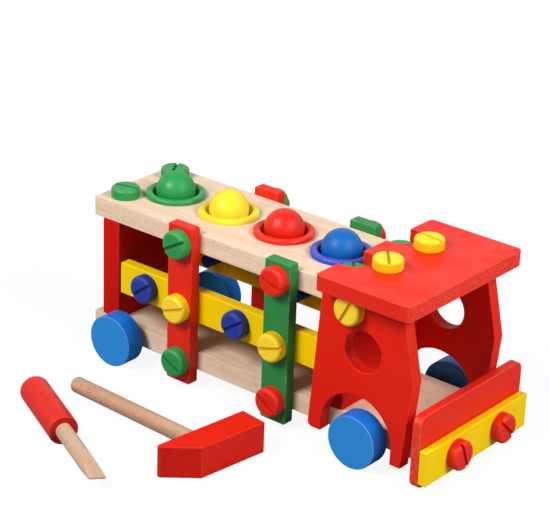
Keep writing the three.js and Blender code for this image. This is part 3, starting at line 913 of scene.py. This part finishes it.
@dataclass
class ScrewSet(SubAssembly):
    """All the big slotted screws."""

    head_radius: float = 11.0
    head_rounding: float = 2.8
    head_steps: int = 6
    slot_width: float = 2.5
    slot_depth: float = 2.2
    slot_ease: float = 0.35
    slot_steps: int = 3
    slot_angle: float = 0.7
    shank_radius: float = 5.25
    shank_length: float = 22.0
    shank_clearance: float = 0.3
    tip_share: float = 0.8
    tip_clearance: float = 0.6
    thread_pitch: float = 3.6
    thread_depth: float = 0.75
    thread_start: float = 3.0
    thread_fade: float = 3.0
    sides: int = 44
    rings: int = 44
    hole_sides: int = 32

    def __post_init__(self) -> None:
        """Lists the screws of both sides."""
        self.screws: list[Screw] = []
        for side in Side:
            self._list_side(side)

    def _list_side(self, side: Side) -> None:
        """Adds one side's screws to the list.

        Args:
            side: The side.
        """
        near = side is Side.RIGHT
        facing = Facing.RIGHT if near else Facing.LEFT
        label = side.label
        posts = {
            "front": ((RED, -17.0), (LEMON, 17.0), (RED, -33.0)),
            "rear": ((GREEN, 30.0), (LEMON, 21.0), (GREEN, -27.0)),
        }
        for post, rows in posts.items():
            for row, (finish, turn) in zip(("top", "middle", "bottom"), rows):
                node = f"screw_post_{post}_{label}_{row}"
                self.screws.append(Screw(node, facing, -side.value * turn, finish))
        others = (
            ("rail_rear", facing, -side.value * 37.0, ULTRAMARINE),
            ("rail_front", facing, -side.value * 34.0, ULTRAMARINE),
            ("cab", facing, -side.value * 62.0, LEMON),
            ("roof", Facing.UP, -50.0 if near else -5.0, LEMON),
            ("deck_front", Facing.UP, -50.0 if near else 20.0, GREEN),
            ("deck_rear", Facing.UP, 15.0 if near else -60.0, GREEN),
            ("bumper", Facing.FRONT, -70.0 if near else -45.0, RED),
        )
        for spot_name, way, turn, finish in others:
            self.screws.append(Screw(f"screw_{spot_name}_{label}", way, turn, finish))

    def drill(self, piece: Object) -> None:
        """Drills a board wherever a screw goes into it.

        Args:
            piece: The board.
        """
        corners = [vertex.co for vertex in piece.data.vertices]
        low = [min(values) for values in zip(*corners)]
        high = [max(values) for values in zip(*corners)]
        radius = self.shank_radius + self.shank_clearance
        holes = []
        for screw in self.screws:
            tip = screw.seat - screw.facing.axis * (self.shank_length + self.tip_clearance) * MM
            start = screw.seat + screw.facing.axis * MM
            spans = zip(start, tip, low, high)
            if all(min(one, two) < top and max(one, two) > bottom for one, two, bottom, top in spans):
                holes.append(rod("hole", start, tip, radius, self.hole_sides))
        cut(piece, holes)

    def _blank(self) -> Object:
        """Models a screw that stands at the origin with its seat at zero and its slot along X.

        Returns:
            The screw.
        """
        top = spot(z=SCREW_HEAD_HEIGHT)
        blank = rod("screw_blank", Vector(), top, self.head_radius, self.sides)
        round_off(blank, self.head_rounding, self.head_steps, ends(lambda co: co.z > top.z - MM / 2))
        half = self.slot_width / 2
        reach = 1.5 * self.head_radius
        floor = SCREW_HEAD_HEIGHT - self.slot_depth
        cut(blank, [block("slot", spot(-reach, -half, floor), spot(reach, half) + 2 * top)])
        flank = ends(lambda co: abs(abs(co.y) - half * MM) < HAIR)
        round_off(
            blank,
            self.slot_ease,
            self.slot_steps,
            lambda edge: flank(edge) and edge.calc_face_angle(0.0) > self.slot_angle,
        )
        pick(blank, Pick.FACES, lambda face: face.normal.z < -PARALLEL)
        bpy.ops.mesh.inset(thickness=(self.head_radius - self.shank_radius) * MM)
        for _ in range(self.rings):
            lift(-self.shank_length * MM / self.rings)
        widen(self.tip_share)
        done()
        self._thread(blank)
        inner = (self.head_radius - self.head_rounding) * MM
        mark(blank, lambda face: face.center.xy.length > inner and face.center.z > top.z / 2)
        smooth(blank)
        return blank

    def _thread(self, blank: Object) -> None:
        """Presses the thread into the shank.

        Args:
            blank: The screw with a plain shank.
        """
        for vertex in blank.data.vertices:
            depth = -vertex.co.z / MM
            if depth < self.thread_start:
                continue
            angle = math.atan2(vertex.co.y, vertex.co.x)
            phase = 2.0 * math.pi * depth / self.thread_pitch + angle
            fade = min(1.0, (depth - self.thread_start) / self.thread_fade)
            groove = fade * self.thread_depth * (0.5 - 0.5 * math.cos(phase)) / self.shank_radius
            vertex.co.x *= 1.0 - groove
            vertex.co.y *= 1.0 - groove

    def build(self) -> None:
        """Models the screw once and sets a copy of it at every seat."""
        blank = self._blank()
        for screw in self.screws:
            piece = copy(blank, f"{screw.node}_wood", screw.place)
            self.dresser.dress(piece, screw.node, screw.finish, screw.facing.grain)
        discard(blank)


@dataclass
class Joinery(SubAssembly):
    """Boards that screws go into."""

    screws: ScrewSet
    ease: float = 0.7
    corner_steps: int = 6

    def finish(self, board: Object, node: str, finish: Finish, grain: Grain) -> None:
        """Drills a board for its screws, shades it and dresses it.

        Args:
            board: The board.
            node: The node that it stands for.
            finish: Its finish.
            grain: The run of its fibres.
        """
        self.screws.drill(board)
        smooth(board)
        self.dresser.dress(board, node, finish, grain)


@dataclass
class Boards(Joinery):
    """The straight boards: planks, walls, posts, rails and bumper."""

    plank_corner: float = 1.5
    post_corner: float = 1.8
    rail_corner: float = 1.2
    bumper_corner: float = 7.0
    ring_hole_radius: float = 18.8
    ring_hole_reach: float = 40.0
    ring_hole_sides: int = 64
    axle_hole_radius: float = 4.3
    axle_hole_reach: float = 60.0
    axle_hole_sides: int = 40
    axle_nodes: tuple[str, ...] = ("axle_rear", "axle_front")
    ring_nodes: tuple[str, ...] = ("ring_1_green", "ring_2_yellow", "ring_3_red", "ring_4_blue")

    def saw(self, node: str, through: Grain, corner: float) -> Object:
        """Saws a board with rounded corners in the place of a node and eases its rims.

        Args:
            node: The node whose box the board fills.
            through: The direction of its thickness.
            corner: The radius of its corners.

        Returns:
            The board.
        """
        low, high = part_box(node)
        board = block(f"{node}_wood", low, high)
        round_off(board, corner, self.corner_steps, lambda edge: runs(edge, through))
        ease(board, self.ease)
        return board

    def planks(self) -> None:
        """Makes the lower plank with its axle holes and the upper one with its ring holes."""
        across = spot(y=self.axle_hole_reach)
        upright = spot(z=self.ring_hole_reach)
        rows = (
            ("chassis", self.axle_nodes, across, self.axle_hole_radius, self.axle_hole_sides),
            ("deck", self.ring_nodes, upright, self.ring_hole_radius, self.ring_hole_sides),
        )
        for node, inner, reach, radius, sides in rows:
            board = self.saw(node, Grain.UPRIGHT, self.plank_corner)
            cut(board, [drill(middle_of(each), reach, radius, sides) for each in inner])
            self.finish(board, node, BEECH, Grain.ALONG)

    def build(self) -> None:
        """Makes and dresses every straight board."""
        self.planks()
        rows = [
            ("rear_wall", Grain.ALONG, self.plank_corner, RED_SHADED_WALL, Grain.UPRIGHT),
            ("cab_bulkhead", Grain.ALONG, self.plank_corner, RED_SHADED_WALL, Grain.UPRIGHT),
        ]
        for side in Side:
            rows += [
                (f"post_front_{side.label}", Grain.ACROSS, self.post_corner, GREEN_BOARD, Grain.UPRIGHT),
                (f"post_rear_{side.label}", Grain.ACROSS, self.post_corner, RED, Grain.UPRIGHT),
                (f"rail_{side.label}", Grain.ACROSS, self.rail_corner, YELLOW, Grain.ALONG),
            ]
        rows += [
            ("bumper_board", Grain.ALONG, self.bumper_corner, RED_BOARD, Grain.ACROSS),
            ("bumper_rail", Grain.ALONG, self.rail_corner, YELLOW, Grain.ACROSS),
        ]
        for node, through, corner, finish, grain in rows:
            self.finish(self.saw(node, through, corner), node, finish, grain)


@dataclass
class Cab(Joinery):
    """The two cab sides with window and wheel arch, and the roof with its two notches."""

    foot_corner: float = 4.0
    rear_foot_rise: float = 4.2
    heel_spare: float = 9.0
    front_lean: float = 6.6
    knee_rise: float = 66.9
    brow_lean: float = 11.4
    rear_lean: float = 8.2
    arch_ahead: float = 42.0
    arch_rise: float = 12.05
    arch_radius: float = 30.6
    arch_drop: float = 30.0
    arch_sides: int = 96
    window_ahead: float = 45.0
    window_rise: float = 77.25
    window_radius: float = 15.6
    cut_reach: float = 20.0
    cut_sides: int = 72
    roof_front_corner: float = 5.4
    roof_rear_corner: float = 3.6
    roof_steps: int = 8
    notch_radius: float = 14.5
    notch_ahead: float = 2.9
    notch_spread: float = 55.2

    def side(self, node: str) -> None:
        """Makes one cab side.

        Args:
            node: The node that it stands for.
        """
        low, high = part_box(node)
        panel = block(f"{node}_wood", low, high)
        middle = (low.y + high.y) / 2

        def at(x: float, z: float) -> Vector:
            """Gives a point of the outline, from the lower rear corner."""
            return Vector((low.x + x * MM, middle, low.z + z * MM))

        width = (high.x - low.x) / MM
        height = (high.z - low.z) / MM
        knee = at(width, self.knee_rise)
        lines = (
            (at(width - self.front_lean, 0.0), knee, 1.0),
            (knee, at(width - self.brow_lean, height), 1.0),
            (at(0.0, self.rear_foot_rise + self.foot_corner), at(self.rear_lean, height), -1.0),
        )
        for start, end, outside in lines:
            run = end - start
            split(panel, start, Vector((run.z, 0.0, -run.x)) * outside)
        reach = spot(y=self.cut_reach)
        arch = at(self.arch_ahead, self.arch_rise)
        heel = at(0.0, self.rear_foot_rise)
        below = at(-self.heel_spare, -self.heel_spare)
        cut(panel, [block("heel", below - reach, Vector((arch.x, middle, heel.z)) + reach)])
        round_off(
            panel,
            self.foot_corner,
            self.corner_steps,
            lambda edge: runs(edge, Grain.ACROSS)
            and (edge.verts[0].co - heel).xz.length < self.foot_corner * MM / 2,
        )
        cut(panel, [drill(arch, reach, self.arch_radius, self.arch_sides)])
        wide = spot(self.arch_radius, self.cut_reach, self.arch_drop)
        foot = block("arch_foot", arch - wide, arch + wide - spot(z=self.arch_drop))
        cut(panel, [foot])
        window = at(self.window_ahead, self.window_rise)
        cut(panel, [drill(window, reach, self.window_radius, self.cut_sides)])
        ease(panel, self.ease)
        self.finish(panel, node, RED_SIDE, Grain.ALONG)

    def roof(self) -> None:
        """Makes the roof."""
        low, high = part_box("roof")
        board = block("roof_wood", low, high)
        middle = (low + high) / 2
        round_off(
            board,
            self.roof_front_corner,
            self.roof_steps,
            lambda edge: runs(edge, Grain.UPRIGHT) and edge.verts[0].co.x > middle.x,
        )
        round_off(
            board,
            self.roof_rear_corner,
            self.roof_steps,
            lambda edge: runs(edge, Grain.UPRIGHT) and edge.verts[0].co.x < low.x + NEAR,
        )
        reach = spot(z=self.cut_reach)
        notches = []
        for side in Side:
            y = middle.y + side.value * self.notch_spread / 2 * MM
            place = Vector((low.x + self.notch_ahead * MM, y, middle.z))
            notches.append(drill(place, reach, self.notch_radius, self.cut_sides))
        cut(board, notches)
        ease(board, self.ease)
        self.finish(board, "roof", RED_BOARD, Grain.ALONG)

    def build(self) -> None:
        """Makes and dresses the cab."""
        for side in Side:
            self.side(f"cab_side_{side.label}")
        self.roof()


@dataclass
class Wheels(SubAssembly):
    """Four solid wheels glued on two dowel axles."""

    thickness: float = 15.7
    radius: float = 20.0
    rounding: float = 0.8
    rounding_steps: int = 5
    ring_share: float = 0.35
    sides: int = 96
    bore_radius: float = 4.3
    bore_depth: float = 9.7
    axle_radius: float = 4.0
    axle_ease: float = 0.5
    axle_steps: int = 2
    axle_sides: int = 40

    def _blank(self) -> Object:
        """Models a wheel that stands on its inner face at the origin, with its axle's blind bore.

        Returns:
            The wheel.
        """
        blank = rod("wheel_blank", Vector(), spot(z=self.thickness), self.radius, self.sides)
        ease(blank, self.rounding, self.rounding_steps)
        pick(blank, Pick.FACES, lambda face: face.normal.z < -PARALLEL)
        bpy.ops.mesh.inset(thickness=(self.radius - self.rounding - self.bore_radius) * MM)
        lift(self.bore_depth * MM)
        done()
        pick(blank, Pick.FACES, lambda face: face.normal.z > PARALLEL)
        for _ in range(2):
            bpy.ops.mesh.inset(thickness=self.ring_share * self.radius * MM)
        bpy.ops.mesh.poke()
        done()
        smooth(blank)
        return blank

    def _axle(self, node: str) -> None:
        """Makes an axle with eased ends.

        Args:
            node: The node that it stands for.
        """
        low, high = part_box(node)
        middle = (low + high) / 2
        reach = Vector((0.0, (high.y - low.y) / 2, 0.0))
        axle = rod(f"{node}_wood", middle - reach, middle + reach, self.axle_radius, self.axle_sides)
        ease(axle, self.axle_ease, self.axle_steps)
        smooth(axle)
        self.dresser.dress(axle, node, DOWEL, Grain.ACROSS)

    def build(self) -> None:
        """Makes and dresses wheels and axles."""
        blank = self._blank()
        for end in ("rear", "front"):
            for side in Side:
                node = f"wheel_{end}_{side.label}"
                seat = middle_of(node)
                seat.y -= side.value * self.thickness / 2 * MM
                turn = Matrix.Rotation(-side.value * math.pi / 2, 4, "X")
                wheel = copy(blank, f"{node}_wood", Matrix.Translation(seat) @ turn)
                self.dresser.dress(wheel, node, AZURE, Grain.ACROSS)
            self._axle(f"axle_{end}")
        discard(blank)


@dataclass
class BallDeck(SubAssembly):
    """Four rings in the deck, and the balls that are knocked through them."""

    ball_radius: float = 15.0
    ball_flat: float = 2.2
    ball_segments: int = 64
    ball_rings: int = 40
    ball_tilt: float = 0.9
    ball_tilt_step: float = 0.8
    ball_tilt_axis: Triple = (0.6, 1.0, 0.2)
    bore_radius: float = 15.3
    bore_spare: float = 1.02
    sleeve_radius: float = 18.5
    sleeve_depth: float = 15.0
    sides: int = 72
    lip_radius: float = 22.8
    lip_height: float = 3.6
    lip_gap: float = 0.3
    lip_rounding: float = 1.7
    lip_steps: int = 6
    flare: float = 2.6
    flare_depth: float = 5.0
    mouth_rounding: float = 1.2
    mouth_steps: int = 5
    mouth_spare: float = 0.5
    crown: float = 1.5
    colours: tuple[tuple[str, Paint, Paint], ...] = (
        ("1_green", GREEN, GREEN),
        ("2_yellow", BALL_YELLOW, BALL_YELLOW),
        ("3_red", RED, BALL_RED),
        ("4_blue", VIOLET_BLUE, BALL_BLUE),
    )

    def _ring(self) -> Object:
        """Models a ring whose deck level is at zero: sleeve, rounded lip and flared bore.

        Returns:
            The ring.
        """
        low = spot(z=-self.sleeve_depth)
        seat = spot(z=self.lip_gap)
        top = seat.z + self.lip_height * MM
        mouth = self.bore_radius + self.flare
        ring = rod("ring_blank", low, seat, self.sleeve_radius, self.sides)
        pick(ring, Pick.FACES, lambda face: face.normal.z > PARALLEL)
        lift(0.0)
        widen(self.lip_radius / self.sleeve_radius)
        lift(self.lip_height * MM)
        bpy.ops.mesh.inset(thickness=(self.lip_radius - mouth) * MM)
        lift(-self.flare_depth * MM)
        widen(self.bore_radius / mouth)
        done()
        lower = ends(lambda co: co.z < low.z / 2)
        pick(ring, Pick.FACES, lambda face: face.normal.z < -PARALLEL and lower(face))
        bpy.ops.mesh.inset(thickness=(self.sleeve_radius - self.bore_radius) * MM)
        done()
        bore = self.bore_spare * self.bore_radius * MM
        inside = ends(lambda co: co.xy.length < bore)
        pick(ring, Pick.FACES, lambda face: abs(face.normal.z) > PARALLEL and inside(face))
        bpy.ops.mesh.bridge_edge_loops()
        done()
        outside = (mouth + self.mouth_spare) * MM
        lip = ends(lambda co: co.xy.length > outside and abs(co.z - top) < NEAR)
        round_off(ring, self.lip_rounding, self.lip_steps, lip)
        rim = ends(lambda co: abs(co.xy.length - mouth * MM) < CLOSE and abs(co.z - top) < NEAR)
        round_off(ring, self.mouth_rounding, self.mouth_steps, rim)
        mark(ring, lambda face: face.center.z > top - self.crown * MM)
        smooth(ring)
        return ring

    def _ball(self) -> Object:
        """Turns a ball at the origin with the two small flats that the lathe leaves.

        Returns:
            The ball.
        """
        clear()
        bpy.ops.mesh.primitive_uv_sphere_add(
            segments=self.ball_segments, ring_count=self.ball_rings, radius=self.ball_radius * MM
        )
        ball = settle("ball_blank")
        flat = math.sqrt(self.ball_radius**2 - self.ball_flat**2)
        for way in (1.0, -1.0):
            split(ball, spot(z=way * flat), Vector((0.0, 0.0, way)))
        take(ball)
        bpy.ops.object.shade_smooth()
        return ball

    def build(self) -> None:
        """Makes and dresses rings and balls."""
        ring = self._ring()
        ball = self._ball()
        for number, (label, ring_finish, ball_finish) in enumerate(self.colours):
            node = f"ring_{label}"
            seat = middle_of(node)
            seat.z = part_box(node)[0].z + self.sleeve_depth * MM
            piece = copy(ring, f"{node}_wood", Matrix.Translation(seat))
            self.dresser.dress(piece, node, ring_finish, Grain.UPRIGHT)
            node = f"ball_{label}"
            angle = self.ball_tilt + self.ball_tilt_step * number
            tilt = Matrix.Rotation(angle, 4, Vector(self.ball_tilt_axis))
            piece = copy(ball, f"{node}_wood", Matrix.Translation(middle_of(node)) @ tilt)
            self.dresser.dress(piece, node, ball_finish, Grain.ALONG)
        discard(ring)
        discard(ball)


@dataclass
class Hammer(SubAssembly):
    """A hammer with a slanted head, lying on its side."""

    place: Span = (24.35, -53.6057)
    head_height: float = 24.0
    head_width: float = 23.0
    head_length: float = 79.7
    head_slant: float = 21.7
    head_strip: float = 3.6
    head_corner: float = 1.8
    head_ease: float = 0.7
    handle_radius: float = 6.0
    handle_reach: float = 126.0
    handle_socket: float = 16.0
    handle_rounding: float = 3.0
    rounding_steps: int = 6
    clearance: float = 0.3
    socket_sides: int = 48
    handle_sides: int = 56

    def head(self) -> None:
        """Makes the head and bores it for the handle."""
        half = spot(self.head_width / 2, self.head_length / 2)
        up = spot(z=self.head_height)
        head = block("hammer_head_wood", -half, half + up)
        slant = Vector((self.head_slant, self.head_strip - self.head_width, 0.0))
        split(head, spot(self.head_strip) - half, slant)
        round_off(
            head,
            self.head_corner,
            self.rounding_steps,
            lambda edge: runs(edge, Grain.UPRIGHT) and (edge.verts[0].co + half).xy.length < MM,
        )
        ease(head, self.head_ease)
        middle = Vector((-half.x, 0.0, up.z / 2))
        askew = Matrix.Rotation(-HEAD_SKEW, 3, "Z")
        reach = askew @ spot(self.handle_socket)
        radius = self.handle_radius + self.clearance
        cut(head, [drill(askew @ middle, reach, radius, self.socket_sides)])
        smooth(head)
        lay(head, spot(*self.place), HAMMER_TURN + HEAD_SKEW)
        self.dresser.dress(head, "hammer_head", RED_TOOL, Grain.HAMMER_HEAD)

    def handle(self) -> None:
        """Makes the handle and rounds its free end."""
        seat = -self.head_width / 2
        start = spot(seat + self.handle_socket - self.clearance, 0.0, self.head_height / 2)
        end = spot(seat - self.handle_reach, 0.0, self.head_height / 2)
        handle = rod("hammer_handle_wood", start, end, self.handle_radius, self.handle_sides)
        free = ends(lambda co: abs(co.x - end.x) < NEAR)
        round_off(handle, self.handle_rounding, self.rounding_steps, free)
        smooth(handle)
        lay(handle, spot(*self.place), HAMMER_TURN)
        self.dresser.dress(handle, "hammer_handle", DOWEL, Grain.HAMMER_HANDLE)

    def build(self) -> None:
        """Makes and dresses the hammer."""
        self.head()
        self.handle()


@dataclass
class Screwdriver(SubAssembly):
    """A screwdriver with a turned handle and a flat-tipped dowel blade."""

    place: Span = (-132.776, -71.9152)
    handle_radius: float = 11.0
    handle_length: float = 71.0
    handle_rounding: float = 6.0
    handle_steps: int = 8
    handle_ease: float = 1.0
    handle_sides: int = 72
    blade_radius: float = 6.0
    blade_reach: float = 71.0
    blade_ease: float = 0.3
    blade_steps: int = 2
    blade_sides: int = 56
    blade_smooth: float = 14.0
    socket: float = 25.0
    socket_spare: float = 1.1
    socket_sides: int = 48
    clearance: float = 0.3
    tip_length: float = 34.0
    tip_thickness: float = 1.4
    tip_roll: float = -9.0

    def finish(self, piece: Object, node: str, finish: Finish) -> None:
        """Lays a piece that was modelled along +X from the origin in its place and dresses it."""
        lay(piece, spot(*self.place, self.handle_radius), DRIVER_TURN)
        self.dresser.dress(piece, node, finish, Grain.DRIVER)

    def handle(self) -> None:
        """Makes the handle and bores it for the blade."""
        end = spot(self.handle_length)
        handle = rod("driver_handle_wood", Vector(), end, self.handle_radius, self.handle_sides)
        round_off(handle, self.handle_rounding, self.handle_steps, ends(lambda co: abs(co.x) < NEAR))
        ease(handle, self.handle_ease)
        floor = spot(self.handle_length - self.socket)
        radius = self.blade_radius + self.clearance
        cut(handle, [rod("socket", floor, end * self.socket_spare, radius, self.socket_sides)])
        smooth(handle)
        self.finish(handle, "driver_handle", RED_GRIP)

    def blade(self) -> None:
        """Makes the blade with its two slopes and eased edges."""
        start = spot(self.handle_length - self.socket + self.clearance)
        tip = spot(self.handle_length + self.blade_reach)
        blade = rod("driver_blade_wood", start, tip, self.blade_radius, self.blade_sides)
        drop = self.blade_radius - self.tip_thickness / 2
        roll = Matrix.Rotation(math.radians(self.tip_roll), 3, "X")
        for way in (1.0, -1.0):
            edge = tip + roll @ spot(z=way * self.tip_thickness / 2)
            split(blade, edge, roll @ Vector((drop, 0.0, way * self.tip_length)))
        ease(blade, self.blade_ease, self.blade_steps)
        smooth(blade, self.blade_smooth)
        self.finish(blade, "driver_blade", BLADE)

    def build(self) -> None:
        """Makes and dresses the screwdriver."""
        self.handle()
        self.blade()


@dataclass
class Studio:
    """A white floor, soft light and the camera."""

    image: tuple[int, int] = (549, 515)
    sensor: float = 36.0
    focal_pixels: float = 2046.89
    middle: Span = (267.82, 257.73)
    camera_place: Triple = (0.83331, -0.99724, 0.70357)
    camera_right: Triple = (0.76743, 0.64029, 0.03277)
    camera_up: Triple = (-0.28083, 0.28977, 0.91497)
    surround: float = 0.12
    lamp_size: float = 0.65
    lamp_aim: Triple = (0.0, 0.05, 0.05)
    left_place: Triple = (-0.37, -1.08, 1.19)
    left_power: float = 27.0
    right_place: Triple = (1.22, 0.1, 1.02)
    right_power: float = 21.0
    floor_size: float = 8.0
    floor_drop: float = 0.0002
    floor_colour: Colour = (155, 155, 155)
    floor_roughness: float = 0.9
    floor_shine: float = 0.1
    floor_glow: float = 0.7
    glow_strength: float = 1.3
    glow_rise: float = 0.25
    glow_span: Span = (0.3, 1.2)

    def camera(self) -> None:
        """Sets the camera up."""
        data = bpy.data.cameras.new("camera")
        data.sensor_fit = "HORIZONTAL"
        data.sensor_width = self.sensor
        width, height = self.image
        data.lens = self.focal_pixels * data.sensor_width / width
        data.shift_x = (width / 2 - self.middle[0]) / width
        data.shift_y = (self.middle[1] - height / 2) / width
        camera = bpy.data.objects.new("camera", data)
        right = Vector(self.camera_right).normalized()
        up = Vector(self.camera_up)
        up = (up - right * up.dot(right)).normalized()
        turned = Matrix((right, up, right.cross(up))).transposed()
        camera.matrix_world = Matrix.Translation(self.camera_place) @ turned.to_4x4()
        bpy.context.scene.collection.objects.link(camera)
        bpy.context.scene.camera = camera

    def floor(self) -> None:
        """Lays the floor, which glows a little where the camera sees it."""
        clear()
        bpy.ops.mesh.primitive_plane_add(size=self.floor_size, location=(0.0, 0.0, -self.floor_drop))
        floor = settle("floor")
        material = bpy.data.materials.new("white_floor")
        material.use_nodes = True
        graph = Graph(material.node_tree)
        shader = graph.tree.nodes["Principled BSDF"]
        shader.inputs["Base Color"].default_value = linear(self.floor_colour)
        shader.inputs["Roughness"].default_value = self.floor_roughness
        shader.inputs["Specular IOR Level"].default_value = self.floor_shine
        place = graph.node("ShaderNodeTexCoord").outputs["Object"]
        away = graph.node("ShaderNodeVectorMath", {0: place}, operation="LENGTH").outputs["Value"]
        level = graph.ramp(away, self.glow_span, (self.glow_strength, self.glow_strength + self.glow_rise))
        glow = graph.node("ShaderNodeEmission", {"Color": WHITE, "Strength": level})
        path = graph.node("ShaderNodeLightPath")
        share = graph.times(path.outputs["Is Camera Ray"], self.floor_glow)
        mixed = graph.node("ShaderNodeMixShader", {0: share, 1: shader.outputs[0], 2: glow.outputs[0]})
        graph.link(mixed.outputs[0], graph.tree.nodes["Material Output"], "Surface")
        floor.data.materials.append(material)

    def surroundings(self) -> None:
        """Makes the world white where it is seen, and plain soft light elsewhere."""
        world = bpy.data.worlds.new("studio")
        bpy.context.scene.world = world
        world.use_nodes = True
        graph = Graph(world.node_tree)
        back = graph.tree.nodes["Background"]
        back.inputs["Color"].default_value = WHITE
        path = graph.node("ShaderNodeLightPath")
        seen = graph.math("MAXIMUM", path.outputs["Is Camera Ray"], path.outputs["Is Transmission Ray"])
        seen = graph.math("MAXIMUM", seen, path.outputs["Is Glossy Ray"])
        graph.link(graph.ramp(seen, UNIT, (self.surround, 1.0)), back, "Strength")

    def lamp(self, name: str, place: Triple, power: float) -> None:
        """Hangs a soft lamp that looks at the truck.

        Args:
            name: Its name.
            place: Where it hangs, in metres.
            power: Its power, in watts.
        """
        data = bpy.data.lights.new(name, "AREA")
        data.size = self.lamp_size
        data.energy = power
        lamp = bpy.data.objects.new(name, data)
        lamp.location = place
        look = Vector(self.lamp_aim) - Vector(place)
        lamp.rotation_euler = look.to_track_quat("-Z", "Y").to_euler()
        bpy.context.scene.collection.objects.link(lamp)

    def build(self) -> None:
        """Sets the whole studio up."""
        self.camera()
        self.floor()
        self.surroundings()
        self.lamp("left", self.left_place, self.left_power)
        self.lamp("right", self.right_place, self.right_power)
        bpy.context.scene.view_settings.view_transform = "Standard"


def main() -> None:
    """Builds the studio, then every sub-assembly of the truck and its tools."""
    logging.basicConfig(level=logging.INFO, format="%(name)s %(message)s")
    Studio().build()
    dresser = Dresser()
    screws = ScrewSet(dresser)
    Boards(dresser, screws).build()
    Cab(dresser, screws).build()
    Wheels(dresser).build()
    BallDeck(dresser).build()
    screws.build()
    Hammer(dresser).build()
    Screwdriver(dresser).build()


if __name__ == "__main__":
    main()
